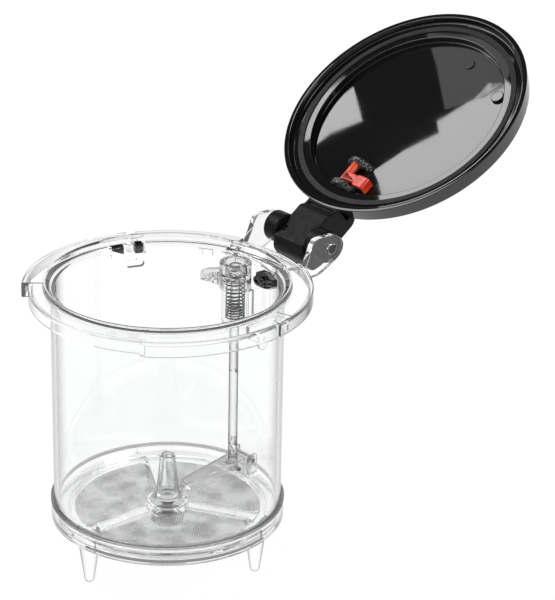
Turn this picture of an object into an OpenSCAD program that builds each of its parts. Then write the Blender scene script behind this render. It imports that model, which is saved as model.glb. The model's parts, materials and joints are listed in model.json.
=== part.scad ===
// Brewing filter canister: clear tube with a wide collar, hinged black lid, mesh filter disc,
// three feet, and a sprung push rod that opens a drain valve through a lever.
// Millimetres. Z = 0 is the seat under the collar, the canister axis is Z, +Y points to the hinge.

/* [Tube] */
// Outer diameter of the clear tube
tube_d = 96; // [80:1:120]
// Wall of the tube
tube_wall = 2; // [1.2:0.1:3]
// Length of the tube below the seat
tube_len = 89.5; // [70:0.5:120]
// Height of the slot through the wall
wall_slot_h = 3.4; // [2:0.1:5]
// Level of the middle of the wall slot
wall_slot_z = -2.9; // [-10:0.1:-2]

/* [Collar] */
// Outer diameter of the collar
collar_d = 119.6; // [110:0.1:130]
// Diameter of the set-back front sector
front_d = 114; // [105:0.1:118]
// First angle of the front sector
front_from = 230; // [200:1:250]
// Last angle of the front sector
front_to = 310; // [290:1:340]
// How much lower the front sector lies
front_drop = 0.3; // [0:0.1:1]
// Top face of the collar above the seat
collar_top = 6.4; // [4:0.1:10]
// Thickness of the collar plate
plate_t = 2; // [1:0.1:3]
// Thickness of the skirt
skirt_t = 1.6; // [1:0.1:3]
// Diameter of the lip at the mouth
lip_d = 101.6; // [98:0.1:106]
// Top of the lip above the seat
lip_top = 8.7; // [7:0.1:11]
// Diameter where the mouth chamfer ends
mouth_d = 96; // [93:0.5:99]
// Width of the slit in the skirt
slit_w = 1.4; // [0.8:0.1:3]
// Angle of the slit
slit_a = 8.5; // [0:0.5:20]
// Width of the hanging tab
tab_w = 4.5; // [3:0.1:8]
// Drop of the tab below the seat
tab_h = 2.5; // [1:0.1:5]

/* [Hinge] */
// Hinge axis behind the canister axis
hinge_y = 73.3; // [68:0.1:80]
// Hinge axis above the seat
hinge_z = 9; // [6:0.1:14]
// Radius of the hinge pin
hinge_pin_r = 2; // [1:0.1:3]
// Inner face of each ear
ear_in = 17; // [12:0.1:20]
// Outer face of each ear
ear_out = 20; // [15:0.1:24]
// Half width of the pocket for the lid arm, in degrees
pocket_a = 18; // [12:1:25]
// Floor of that pocket above the seat
pocket_z = 5; // [4:0.1:6]

/* [Lid] */
// Opening angle of the lid
lid_open = 145; // [90:1:170]
// Rim diameter of the lid
lid_d = 114; // [110:0.1:118]
// Diameter at the top of its wall
lid_top_d = 110.8; // [106:0.1:114]
// Rim plane of the closed lid above the seat
lid_rim_z = 6.7; // [6:0.1:8]
// Height of the lid
lid_h = 8.3; // [6:0.1:12]
// Width of the rim face
lid_rim_w = 2.4; // [1:0.1:4]
// Thickness of the lid top
lid_top_t = 2.2; // [1:0.1:4]
// Diameter of the flat inside the lid
lid_flat_d = 90.8; // [80:0.1:96]
// Height of the shoulder over the rim plane
shoulder_h = 2.9; // [2.4:0.1:4]
// Half width of the lid arm
arm_half = 9.3; // [6:0.1:12]
// Half width of the barrel
barrel_half = 16.7; // [12:0.1:18]
// Radius of the barrel
barrel_r = 6.8; // [5:0.1:9]

/* [Rocker] */
// Rocker axis to the side of the lid middle
rocker_x = -3.5; // [-8:0.1:0]
// Rocker axis under the lid rim plane level
rocker_z = 10; // [8:0.1:12]
// Near bracket along the lid
bracket_near = 30; // [26:0.1:32]
// Far bracket along the lid
bracket_far = 42.5; // [42:0.1:44]
// Radius of the rocker pin
rocker_pin_r = 0.8; // [0.5:0.1:1.5]

/* [Push rod] */
// Push rod axis behind the canister axis
rod_y = 36.6; // [30:0.1:42]
// Radius of the rod
rod_r = 2.05; // [1.5:0.05:3]
// Outer radius of the cap
cap_r = 6.75; // [5:0.05:8]
// Top of the cap above the seat
cap_top = 6.6; // [4:0.1:9]
// Bottom of the cap
cap_bottom = -5; // [-10:0.1:-2]
// Outer radius of the guide tube
guide_r = 5.8; // [5:0.05:6.1]
// Wall of the guide tube
guide_wall = 0.7; // [0.5:0.1:1.2]
// Top of the guide tube
guide_top = -1; // [-4:0.1:-0.6]
// Floor of the guide tube
guide_floor = -19.5; // [-25:0.1:-15]

/* [Spring] */
// Mean radius of the spring
spring_r = 3.9; // [2.5:0.05:4.4]
// Wire radius
wire_r = 0.3; // [0.2:0.05:0.4]
// Number of curls
curls = 12; // [6:1:16]
// Share of even pitch in the coil
even_share = 0.66; // [0.5:0.01:1]

/* [Lever] */
// Pivot behind the canister axis
pivot_y = 43.2; // [40:0.1:44]
// Pivot level
pivot_z = -85.8; // [-90:0.1:-80]
// Radius of the lever pin
lever_pin_r = 1; // [0.6:0.1:1.5]
// Half width of the lever at its outer end
lever_outer = 4.7; // [3:0.1:6]
// Half width of the lever at its inner end
lever_inner = 2.6; // [2:0.1:4]
// Inner end of the lever
lever_tip = 9.3; // [9:0.1:12]
// Wall of the lever
lever_wall = 1; // [0.8:0.1:1.5]
// Level of the pin between rod and lever
link_z = -88.6; // [-90:0.1:-87]
// Radius of that pin
link_r = 0.9; // [0.6:0.1:1.2]

/* [Valve post] */
// Radius of the post at its foot
post_foot_r = 5; // [4:0.1:6]
// Radius of the post at its top
post_top_r = 3.1; // [2.5:0.1:4]
// Top of the post
post_top = -71.5; // [-80:0.5:-60]
// Radius of the upper flange
flange_r = 6.2; // [5:0.1:7]
// Radius of the lower flange
guide_flange_r = 7; // [6:0.1:7.2]
// Radius of the valve stem
stem_r = 2.4; // [1.5:0.1:3]

/* [Filter] */
// Diameter of the filter frame
frame_d = 93.2; // [90:0.1:93.4]
// Diameter of the mesh window
window_d = 78; // [70:0.5:86]
// Outer radius of the hub cup
cup_r = 9; // [8:0.1:11]
// Wall of the hub cup
cup_wall = 1.6; // [1:0.1:2]
// Width of a spoke
spoke_w = 5.5; // [3:0.1:8]
// Top of the mesh
mesh_z = -94.6; // [-96:0.1:-93]
// Thickness of the mesh
mesh_t = 0.3; // [0.2:0.05:0.5]

/* [Base] */
// Outer diameter of the base ring
base_d = 98.4; // [96:0.1:102]
// Bottom of the base ring
base_bottom = -98; // [-104:0.5:-96]
// Tip of the feet
foot_z = -120; // [-130:0.5:-110]
// Distance of the feet from the axis
foot_at = 39.2; // [34:0.1:42]
// Radius of a foot at its root
foot_root_r = 5.1; // [3:0.1:6]
// Radius of a foot at its tip
foot_tip_r = 2.1; // [1.5:0.1:4]

/* [Hidden] */
// What there is to draw
$fn = 96;
e = 0.01;
tube_r = tube_d / 2;
bore_r = tube_r - tube_wall;
collar_r = collar_d / 2;
front_r = front_d / 2;
plate_z = collar_top - plate_t;
lip_r = lip_d / 2;
mouth_r = mouth_d / 2;
spoke_angles = [30, 150, 270];
foot_angles = [31, 148, 264];
lid_r = lid_d / 2;
lid_top_r = lid_top_d / 2;
lid_z = lid_rim_z + lid_h;
lid_flat_r = lid_flat_d / 2;
flat_z = lid_z - lid_top_t;
shoulder_z = lid_rim_z + shoulder_h;
frame_r = frame_d / 2;
window_r = window_d / 2;
base_r = base_d / 2;
base_in = 46.8;
base_top = -tube_len - 1.1;
ledge_z = -96;
floor_t = 1.5;
well_z = -98.8;
flange_z = -90.7;
groove_z = -92.9;
lower_flange_z = -94.2;
hole_r = 5.2;

clear = [0.86, 0.91, 0.93];
black = [0.06, 0.06, 0.07];
smoke = [0.35, 0.36, 0.38];
steel = [0.6, 0.61, 0.63];
red = [0.85, 0.14, 0.08];
dark = [0.2, 0.21, 0.22];

// A solid of revolution between two angles, from points in radius and height
module sector(a0, a1, pts) {
    rotate([0, 0, a0]) rotate_extrude(angle = a1 - a0) polygon(pts);
}

// A ring of rectangular section
module ring(r_in, r_out, z0, z1) {
    rotate_extrude() polygon([[r_in, z0], [r_out, z0], [r_out, z1], [r_in, z1]]);
}

// A piece of such a ring
module ring_part(a0, a1, r_in, r_out, z0, z1) {
    sector(a0, a1, [[r_in, z0], [r_out, z0], [r_out, z1], [r_in, z1]]);
}

// An outline in the YZ plane, centred on X
module side_extrude(width, pts) {
    translate([-width / 2, 0, 0]) rotate([90, 0, 90]) linear_extrude(width) polygon(pts);
}

// A cylinder along X
module x_cyl(x0, x1, y, z, r) {
    translate([x0, y, z]) rotate([0, 90, 0]) cylinder(h = x1 - x0, r = r);
}

// A cylinder along Y
module y_cyl(y0, y1, x, z, r) {
    translate([x, y0, z]) rotate([-90, 0, 0]) cylinder(h = y1 - y0, r = r);
}

// Turns closed lid pieces to the open rest pose
module open_lid() {
    translate([0, hinge_y, hinge_z]) rotate([-lid_open, 0, 0]) translate([0, -hinge_y, -hinge_z])
        children();
}

module tube() {
    color(clear) {
        difference() {
            ring(bore_r, tube_r, -tube_len, plate_z);
            // Long slot through the wall near the back
            rotate([0, 0, 158.3]) translate([bore_r - 2, 0, wall_slot_z]) {
                for (s = [-1, 1]) translate([0, s * 2.4, 0]) rotate([0, 90, 0])
                    cylinder(h = 8, r = wall_slot_h / 2);
                translate([0, -2.4, -wall_slot_h / 2]) cube([8, 4.8, wall_slot_h]);
            }
        }
        // Small stops on the inner wall
        ring_part(116, 118, bore_r - 0.6, bore_r + 0.5, 1.7, plate_z);
        ring_part(122, 124, bore_r - 0.6, bore_r + 0.5, 1.7, plate_z);
        ring_part(102, 110.5, bore_r - 0.5, bore_r + 0.5, 2.2, plate_z);
    }
}

module collar() {
    wall_in = front_r - skirt_t;
    // Section with the lip and the mouth, out to the skirt
    function section(r, top) = [[bore_r, plate_z], [r - skirt_t, plate_z], [r - skirt_t, 0], [r, 0],
        [r, top], [lip_r + 0.2, top], [lip_r, lip_top], [lip_r - 0.6, lip_top], [mouth_r, collar_top - 0.2],
        [bore_r, plate_z + 0.9]];
    tab = [[-tab_w / 2, 1], [-tab_w / 2, 1 - tab_h], [-tab_w / 3, 0.3 - tab_h], [-tab_w / 5, -tab_h],
        [tab_w / 5, -tab_h], [tab_w / 3, 0.3 - tab_h], [tab_w / 2, 1 - tab_h], [tab_w / 2, 1]];
    color(clear) difference() {
        union() {
            // Full-width part
            sector(front_to, front_from + 360, section(collar_r, collar_top));
            // Walls that close its skirt at each end
            ring_part(front_from - 1.8, front_from - 0.3, wall_in + 0.3, collar_r - 0.6, 0.2, plate_z + 0.5);
            ring_part(front_to + 0.3, front_to + 1.8, wall_in + 0.3, collar_r - 0.6, 0.2, plate_z + 0.5);
            // Set-back front part
            sector(front_from, front_to, section(front_r, collar_top - front_drop));
            // Thickening under the pocket for the lid arm
            ring_part(88.5 - pocket_a, 91.5 + pocket_a, tube_r, collar_r - 1, pocket_z - 2, plate_z + 0.5);
            // Lug walls by the slit
            ring_part(-2.6, -1.4, 52, collar_r - 1, 0.8, plate_z + 0.5);
            ring_part(14, 15.2, 52, collar_r - 1, 0.8, plate_z + 0.5);
            ring_part(-2.6, 15.2, 51.8, 53.2, 0.8, plate_z + 0.5);
            // Hanging tab
            rotate([0, 0, 0.3]) translate([collar_r - skirt_t - 0.1, 0, 0]) rotate([90, 0, 90])
                linear_extrude(skirt_t) polygon(tab);
            // Ribs by the wall slot
            ring_part(159.3, 161.4, tube_r, 52, 1.8, plate_z + 0.5);
            ring_part(152, 153, tube_r, 53, 0.8, plate_z + 0.5);
            ring_part(171, 172, tube_r, 53, 0.8, plate_z + 0.5);
        }
        // Slit through the edge and the skirt
        rotate([0, 0, slit_a]) translate([front_r, -slit_w / 2, -1]) cube([5, slit_w, 10]);
        // Small hole through the skirt
        translate([collar_r - 4, 0, 2.2]) rotate([0, 90, 0]) cylinder(h = 8, r = 0.65);
        // Notch in the edge at the back
        rotate([0, 0, 156.2]) translate([front_r + 0.3, -2, 2]) cube([5, 4, 7]);
        // Groove across the plate beside the slit
        rotate([0, 0, 16.5]) translate([lip_r + 1, -0.3, collar_top - 0.3]) cube([12, 0.6, 2]);
        // Pocket for the lid arm
        ring_part(90 - pocket_a, 90 + pocket_a, lip_r + 1.4, collar_r + 1, pocket_z, collar_top + 1);
    }
}

module hinge_ears() {
    outline = [[55.6, 0.4], [60.5, -1.1], [64.1, -1.1], [66.4, -0.9], [70.3, 1], [75.4, 3.6],
        [78.2, 5.7], [79.6, 8.4], [79.6, 10.8], [77.8, 13.4], [74.2, 15.3], [66, 15.7], [63.6, 15.5],
        [61.8, 13.2], [60.6, 9.6], [58.7, 5.8], [57.6, 3.6], [55.6, 3.2]];
    color(clear) difference() {
        for (s = [-1, 1]) translate([s * (ear_in + ear_out) / 2, 0, 0])
            side_extrude(ear_out - ear_in, outline);
        x_cyl(-30, 30, hinge_y, hinge_z, hinge_pin_r);
        // The ears start on the skirt and on the thickened plate
        translate([0, 0, -5]) cylinder(h = 30, r = collar_r);
    }
}

module hinge_pin() {
    color(black) x_cyl(-ear_out, ear_out, hinge_y, hinge_z, hinge_pin_r);
}

module key_blocks() {
    color(black) {
        ring_part(153.6, 157.6, tube_r, 51.6, 1, plate_z);
        ring_part(163.7, 170.6, tube_r, 50.4, 1.6, plate_z);
    }
}

module stop_block() {
    // Outline along the wall and in height, with a long slot at its low end
    outline = [[-12.4, 0.8], [-8, -2], [-2.4, -3.9], [2.6, -4.8], [5.6, -4.9], [7.2, -4], [7.8, -2.6],
        [7, -1.2], [5.6, -0.8], [5.6, 1], [2.6, 2.6], [-3, 3.6], [-12.4, 3.6]];
    color(black) intersection() {
        rotate([0, 0, 78]) translate([39, 0, 0]) difference() {
            rotate([90, 0, 90]) linear_extrude(14) polygon(outline);
            translate([-1, 6, -2.8]) rotate([0, 90, 0]) cylinder(h = 6.2, r = 0.7);
            translate([-1, 2.4, -3.5]) cube([6.2, 3.6, 1.4]);
            translate([-1, 2.4, -2.8]) rotate([0, 90, 0]) cylinder(h = 6.2, r = 0.7);
        }
        ring(43.6, bore_r, -6, 4);
    }
}

module guide_tube() {
    color(clear) {
        translate([0, rod_y, 0]) difference() {
            translate([0, 0, guide_floor - 1]) cylinder(h = guide_top - guide_floor + 1, r = guide_r);
            translate([0, 0, guide_floor]) cylinder(h = 40, r = guide_r - guide_wall);
            translate([0, 0, guide_floor - 3]) cylinder(h = 9, r = rod_r + 0.08);
        }
        // Web to the wall and two feet at the bottom
        intersection() {
            union() {
                translate([-1.2, rod_y + guide_r - 0.2, guide_floor - 1]) cube([2.4, 8, 12]);
                for (s = [-1, 1]) translate([s * 4.6 - 0.8, rod_y + 3, guide_floor - 1])
                    cube([1.6, 12, 2.6]);
            }
            difference() {
                cylinder(h = 60, r = bore_r, center = true);
                translate([0, rod_y, -30]) cylinder(h = 60, r = guide_r - 0.1);
            }
        }
    }
}

module lever_ears() {
    color(clear) difference() {
        intersection() {
            for (s = [-1, 1]) translate([s > 0 ? 5 : -6.6, 0, 0]) {
                translate([0, pivot_y - 2.6, -94]) cube([1.6, 8, 94 + pivot_z]);
                translate([0, pivot_y, pivot_z]) rotate([0, 90, 0]) cylinder(h = 1.6, r = 2.6);
                translate([0, pivot_y, pivot_z - 1]) cube([1.6, 8, 3.6]);
            }
            translate([0, 0, -120]) cylinder(h = 60, r = bore_r);
        }
        x_cyl(-20, 20, pivot_y, pivot_z, lever_pin_r);
        translate([0, 0, base_top - 20]) ring(frame_r - 5, 60, 0, 20 - 1.2);
    }
}

module lever_pin() {
    color(steel) x_cyl(-6.6, 6.6, pivot_y, pivot_z, lever_pin_r);
}

module joint_ring() {
    color(dark) rotate_extrude() polygon([[bore_r + 0.6, -tube_len], [tube_r + 1, -tube_len],
        [tube_r + 1.35, -tube_len - 0.3], [tube_r + 1.35, base_top + 0.3],
        [tube_r + 1, base_top], [bore_r + 0.6, base_top]]);
}

module base_ring() {
    color(clear) difference() {
        union() {
            ring(base_in, base_r, base_bottom, base_top);
            // Bayonet lugs
            ring_part(265, 284, base_r - 1, base_r + 0.8, -95, -91.2);
            ring_part(12, 24, base_r - 1, base_r + 0.8, -95, -91.2);
            ring_part(138, 157, base_r - 1, base_r + 0.8, -95, -91.2);
        }
        ring_part(269, 280, base_r - 0.8, base_r + 2, -94, -92.2);
    }
}

module drain_floor() {
    color(clear) {
        difference() {
            rotate_extrude() polygon([[0, well_z], [10, well_z], [34, ledge_z], [base_in, ledge_z],
                [base_in, ledge_z - floor_t], [34, ledge_z - floor_t], [10, well_z - floor_t],
                [0, well_z - floor_t]]);
            cylinder(h = 400, r = hole_r, center = true);
        }
        // Guide ring for the valve stem on three ribs
        difference() {
            union() {
                translate([0, 0, well_z - floor_t]) cylinder(h = floor_t, r = stem_r + 1.1);
                for (a = spoke_angles) rotate([0, 0, a]) translate([0, -0.6, well_z - floor_t])
                    cube([hole_r + 0.4, 1.2, floor_t - 0.3]);
            }
            cylinder(h = 400, r = stem_r + 0.06, center = true);
        }
    }
}

module feet() {
    root_z = ledge_z - floor_t;
    color(clear) for (a = foot_angles) rotate([0, 0, a]) translate([foot_at, 0, 0])
        rotate_extrude() polygon([[0, foot_z], [foot_tip_r - 0.7, foot_z], [foot_tip_r, foot_z + 0.7],
            [foot_root_r, root_z], [0, root_z]]);
}

module filter_frame() {
    color(clear) difference() {
        union() {
            // Rim with a sloping face
            rotate_extrude() polygon([[window_r, mesh_z], [window_r + 2, mesh_z],
                [window_r + 2, mesh_z - mesh_t], [42, ledge_z], [frame_r, ledge_z],
                [frame_r, -92.5], [frame_r - 2, -92.5], [window_r, -93.8]]);
            // Hub cup
            ring(cup_r - cup_wall, cup_r, -96.9, flange_z + 0.2);
            // Spokes, wider where they meet the rim
            for (a = spoke_angles) rotate([0, 0, a]) {
                translate([cup_r - 0.6, -spoke_w / 2, mesh_z])
                    cube([window_r - cup_r + 1.2, spoke_w, 1.4]);
                translate([0, 0, mesh_z]) linear_extrude(1.2) polygon([[window_r - 4, spoke_w / 2 - e],
                    [window_r + 0.6, spoke_w / 2 + 3.4], [window_r + 0.6, -spoke_w / 2 - 3.4],
                    [window_r - 4, -spoke_w / 2 + e]]);
            }
        }
        // Way through the cup for the lever tip
        translate([-3, cup_r - cup_wall - 1, -96.4]) cube([6, 3, 20]);
        // Room in the rim for the lever and its ears
        translate([-7.2, window_r - 1, -94.3]) cube([14.4, 20, 20]);
    }
}

module filter_mesh() {
    color(steel) ring(cup_r, window_r + 2, mesh_z - mesh_t, mesh_z);
}

// The closed lid seen as one full disc
module lid_outer() {
    rotate_extrude() polygon([[0, lid_rim_z], [lid_r, lid_rim_z], [lid_top_r, lid_z - 0.8],
        [lid_top_r - 0.8, lid_z], [0, lid_z]]);
}

module lid_shell() {
    wall_in = lid_r - lid_rim_w;
    color(black) open_lid() difference() {
        lid_outer();
        rotate_extrude() polygon([[0, lid_rim_z - 1], [wall_in + 0.1, lid_rim_z - 1],
            [wall_in, lid_rim_z], [wall_in - 0.8, flat_z], [0, flat_z]]);
    }
    // Small round bosses on the flat
    color(black) open_lid() {
        translate([33.2, -24.9, flat_z - 1.2]) cylinder(h = 1.7, r = 3);
        translate([7.1, -36, flat_z - 0.6]) cylinder(h = 1.1, r = 2.4);
    }
}

module lid_inner_ring() {
    color(black) open_lid() rotate_extrude() polygon([[lid_flat_r, shoulder_z],
        [lid_r - lid_rim_w - 0.6, shoulder_z], [lid_r - lid_rim_w - 0.7, shoulder_z + 1.2],
        [lid_flat_r + 1.4, shoulder_z + 1.2], [lid_flat_r + 1.4, flat_z], [lid_flat_r, flat_z]]);
}

module lid_seal() {
    color(dark) open_lid() ring(48.8, 51.2, shoulder_z - 0.5, shoulder_z);
}

module lid_arm() {
    color(black) open_lid() difference() {
        union() {
            // Block with a flat inner face and a heel that stops the lid
            side_extrude(2 * arm_half, [[50, lid_rim_z], [59.2, lid_rim_z], [61.5, 5], [79.5, 5],
                [83.1, 9.8], [83, 17.7], [77, 19.8], [53.6, 19.8], [50.3, 17]]);
            // Barrel ends between the block and the ears
            x_cyl(-barrel_half, 0.4 - arm_half, hinge_y, hinge_z, barrel_r);
            x_cyl(arm_half - 0.4, barrel_half, hinge_y, hinge_z, barrel_r);
        }
        lid_outer();
        x_cyl(-30, 30, hinge_y, hinge_z, hinge_pin_r + 0.06);
        // Cross groove on the inner face
        translate([-arm_half + 1.6, 57.6, 4]) cube([2 * arm_half - 3.2, 1.3, 3.5]);
        // Round dimple
        translate([-6.3, 74.6, 3]) cylinder(h = 2.6, r = 1.6);
    }
}

module rocker_brackets() {
    dome = [[-7, flat_z + 0.2], [-7, flat_z - 0.8], [-6, flat_z - 2.2], [-4.6, flat_z - 3.6],
        [-2.6, flat_z - 4.8], [-1, flat_z - 5.2], [1, flat_z - 5.2], [2.6, flat_z - 4.8],
        [4.6, flat_z - 3.6], [6, flat_z - 2.2], [7, flat_z - 0.8], [7, flat_z + 0.2]];
    color(black) open_lid() difference() {
        for (y = [bracket_near, bracket_far])
            translate([rocker_x, y + 1.1, 0]) rotate([90, 0, 0]) linear_extrude(2.2) polygon(dome);
        y_cyl(20, 50, rocker_x, rocker_z, rocker_pin_r);
        translate([-20, 20, flat_z]) cube([40, 40, 5]);
    }
}

module rocker_pin() {
    color(steel) open_lid() y_cyl(bracket_near - 1, bracket_far + 1, rocker_x, rocker_z, rocker_pin_r);
}

module rocker() {
    y0 = bracket_near + 1.4;
    y1 = bracket_far - 1.4;
    color(red) open_lid() difference() {
        union() {
            y_cyl(y0, y1, rocker_x, rocker_z, 1.8);
            // Neck
            translate([rocker_x, 35.6, 7.8]) cube([8.2, 5.2, 2]);
            // Broad end over the cap, with a lip turned towards the lid
            translate([4.2, 36.6, 7.6]) cube([6.1, 5.5, 2]);
            translate([8.9, 36.6, 7.6]) cube([1.4, 5.5, 4.8]);
        }
        y_cyl(20, 50, rocker_x, rocker_z, rocker_pin_r + 0.06);
    }
}

module cap() {
    inner = guide_r + 0.35;
    color(smoke) difference() {
        union() {
            translate([0, rod_y, cap_bottom]) cylinder(h = cap_top - cap_bottom, r = cap_r);
            // Side wing with a sloping roof
            translate([0, 36.6, 0]) rotate([90, 0, 0]) linear_extrude(3.8)
                polygon([[-5, 2.6], [-17.6, -1.6], [-18.8, -3.6], [-18.4, -6.6], [-5, -5]]);
            // Small boss on the other side
            x_cyl(5, 8.2, rod_y, 2.2, 1.5);
        }
        translate([0, rod_y, cap_bottom - 1]) cylinder(h = 1.2 - cap_bottom, r = inner);
        // Open top with a hub and four ribs
        difference() {
            translate([0, rod_y, 1.4]) cylinder(h = 20, r = cap_r - 0.8);
            translate([0, rod_y, 0]) cylinder(h = 5.2, r = 2.8);
            for (a = [45, 135]) translate([0, rod_y, 0]) rotate([0, 0, a])
                translate([-cap_r, -0.4, 0]) cube([2 * cap_r, 0.8, 4.4]);
        }
        translate([0, rod_y, 3]) cylinder(h = 20, r = 1.6);
        // Hollow of the wing, open below, in three cells
        difference() {
            translate([0, 35.6, -1]) rotate([90, 0, 0]) linear_extrude(1.8)
                polygon([[-7.8, 1.4], [-16.8, -1.6], [-17.6, -3.2], [-17.4, -9], [-7.8, -9]]);
            for (x = [-14.4, -11]) translate([x, 30, -12]) cube([0.7, 8, 20]);
        }
    }
}

module push_rod() {
    foot = link_z - 1.6;
    color(clear) difference() {
        translate([0, rod_y, foot]) cylinder(h = 0.2 - foot, r = rod_r);
        x_cyl(-10, 10, rod_y, link_z, link_r);
        // Long and short slots seen on the rod
        translate([-4, rod_y - 0.5, -43.4]) cube([8, 1, 14]);
        translate([-4, rod_y - 0.5, -78]) cube([8, 1, 4.4]);
    }
}

module link_pin() {
    color(steel) x_cyl(-4.7, 4.7, rod_y, link_z, link_r);
}

module lever() {
    module plan(outer, inner, y_out, y_in) {
        translate([0, 0, -110]) linear_extrude(40) polygon([[-inner, y_in], [inner, y_in],
            [outer, y_out], [-outer, y_out]]);
    }
    color(clear) difference() {
        union() {
            intersection() {
                union() {
                    side_extrude(20, [[pivot_y, pivot_z + 1.9], [lever_tip, -87], [lever_tip, -90.5],
                        [41.4, -93.6], [pivot_y + 1.6, -87.2], [pivot_y + 1, pivot_z]]);
                    x_cyl(-10, 10, pivot_y, pivot_z, 1.9);
                }
                plan(lever_outer, lever_inner, pivot_y + 3, lever_tip);
            }
            // Hooked tip that sits in the groove of the valve post
            side_extrude(4, [[lever_tip + 0.5, -88.2], [6.8, -88.8], [6.8, -91.2], [4.2, -91.2],
                [4.2, -92.4], [8.1, -92.4], [8.1, -90.4], [lever_tip + 0.5, -90.4]]);
        }
        // Hollow underside
        intersection() {
            side_extrude(20, [[40.8, -85.3], [lever_tip + 1.1, -88.1], [lever_tip + 1.1, -100],
                [40.8, -100]]);
            plan(lever_outer - lever_wall, lever_inner - lever_wall, 41, lever_tip);
        }
        x_cyl(-10, 10, pivot_y, pivot_z, lever_pin_r + 0.06);
        // Way through for the rod, and long holes for its pin
        for (y = [rod_y, rod_y - 0.4]) {
            translate([0, y, -88]) cylinder(h = 10, r = rod_r + 0.35);
            x_cyl(-10, 10, y, link_z, link_r + 0.1);
        }
        translate([-10, rod_y - 0.4, link_z - link_r - 0.1]) cube([20, 0.4, 2 * link_r + 0.2]);
    }
}

module valve_post() {
    color(clear) rotate_extrude() polygon([[0, lower_flange_z], [guide_flange_r, lower_flange_z],
        [guide_flange_r, groove_z], [3.4, groove_z], [3.4, flange_z], [flange_r, flange_z],
        [flange_r, flange_z + 0.8], [post_foot_r, flange_z + 0.8], [post_top_r, post_top],
        [post_top_r - 0.9, post_top], [post_foot_r - 1.2, flange_z + 2.4], [0, flange_z + 2.4]]);
}

module valve_plug() {
    color(black) {
        translate([0, 0, -103]) cylinder(h = 103 + lower_flange_z, r = stem_r);
        translate([0, 0, -103]) cylinder(h = 1.4, r = 7.2);
    }
}

module valve_seal() {
    color(dark) ring(stem_r, 6.8, -101.6, well_z - floor_t - 0.3);
}

// Spring: one unbroken tube along a coil whose pitch grows upwards, with straight ends
spring_low = guide_floor + 0.02;
spring_high = 0.2;
end_len = 2 * wire_r;
coil_low = spring_low + end_len;
coil_h = spring_high - spring_low - 2 * end_len;
rings_per_curl = 8;
ring_n = curls * rings_per_curl;
function coil_pt(t) = let (a = 360 * curls * t) [spring_r * cos(a), rod_y + spring_r * sin(a),
    coil_low + coil_h * (even_share * t + (1 - even_share) * t * t)];
spring_path = concat([[spring_r, rod_y, spring_low]], [for (i = [0 : ring_n]) coil_pt(i / ring_n)],
    [[spring_r, rod_y, spring_high]]);
function unit(v) = v / norm(v);
last_p = len(spring_path) - 1;
function way(i) = i == 0 ? [0, 0, 1] : i == last_p ? [0, 0, 1]
    : unit(unit(spring_path[i + 1] - spring_path[i]) + unit(spring_path[i] - spring_path[i - 1]));
function outward(i) = unit([spring_path[i][0], spring_path[i][1] - rod_y, 0]);
function ring_at(i) = let (w = way(i), o = outward(i), s = unit(o - (o * w) * w), c = cross(w, s))
    [for (k = [0 : 5]) spring_path[i] + wire_r * (cos(60 * k) * s + sin(60 * k) * c)];
spring_pts = [for (i = [0 : last_p]) each ring_at(i)];
spring_faces = concat(
    [for (i = [0 : last_p - 1], k = [0 : 5]) each let (a = 6 * i + k, b = 6 * i + (k + 1) % 6)
        [[a, b, b + 6], [a, b + 6, a + 6]]],
    [for (k = [1 : 4]) [0, k + 1, k]],
    [for (k = [1 : 4]) [6 * last_p, 6 * last_p + k, 6 * last_p + k + 1]]);
spring_gap = min([for (i = [0 : last_p], j = [0 : last_p]) if (j - i >= 5)
    norm(spring_path[i] - spring_path[j])]) - 2 * wire_r;

module spring() {
    color(steel) polyhedron(spring_pts, spring_faces);
}
echo(least_gap_between_curls_mm = spring_gap);

tube();
collar();
hinge_ears();
hinge_pin();
key_blocks();
stop_block();
guide_tube();
lever_ears();
lever_pin();
joint_ring();
base_ring();
drain_floor();
feet();
filter_frame();
filter_mesh();
lid_shell();
lid_inner_ring();
lid_seal();
lid_arm();
rocker_brackets();
rocker_pin();
rocker();
cap();
push_rod();
link_pin();
spring();
lever();
valve_post();
valve_plug();
valve_seal();
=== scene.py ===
# %% [markdown]
# A brewing filter canister in clear plastic, with a black lid, a wire filter and a push rod.
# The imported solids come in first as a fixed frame: every piece made here sits where they say. Most
# of them are then hidden behind a finer piece. The rest stay and only get a better finish.

# %% Load the frame and keep its box
import bmesh
import bpy
import json
import math
import numpy as np
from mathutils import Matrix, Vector


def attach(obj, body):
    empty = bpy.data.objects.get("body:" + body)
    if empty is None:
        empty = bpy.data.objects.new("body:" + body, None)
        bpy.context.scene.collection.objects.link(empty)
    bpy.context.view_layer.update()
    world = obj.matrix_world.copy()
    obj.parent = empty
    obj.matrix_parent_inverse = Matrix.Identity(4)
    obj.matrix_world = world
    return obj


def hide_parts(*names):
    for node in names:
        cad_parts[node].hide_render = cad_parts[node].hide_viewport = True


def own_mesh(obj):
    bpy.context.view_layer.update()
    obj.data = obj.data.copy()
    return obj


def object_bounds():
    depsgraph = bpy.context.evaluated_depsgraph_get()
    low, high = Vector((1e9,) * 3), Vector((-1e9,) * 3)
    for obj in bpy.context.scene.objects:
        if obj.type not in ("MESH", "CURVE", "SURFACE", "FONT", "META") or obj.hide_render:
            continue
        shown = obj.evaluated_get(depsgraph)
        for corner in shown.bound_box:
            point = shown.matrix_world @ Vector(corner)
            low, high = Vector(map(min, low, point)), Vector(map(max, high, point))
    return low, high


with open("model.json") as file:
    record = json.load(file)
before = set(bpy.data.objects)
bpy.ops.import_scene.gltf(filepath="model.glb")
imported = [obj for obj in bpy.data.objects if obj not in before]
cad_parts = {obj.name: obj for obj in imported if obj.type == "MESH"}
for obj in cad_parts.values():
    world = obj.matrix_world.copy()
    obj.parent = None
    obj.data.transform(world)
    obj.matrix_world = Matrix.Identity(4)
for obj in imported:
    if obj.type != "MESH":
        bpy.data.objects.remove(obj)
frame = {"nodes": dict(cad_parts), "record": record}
NODES = frame["nodes"]
CAD_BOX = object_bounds()
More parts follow.
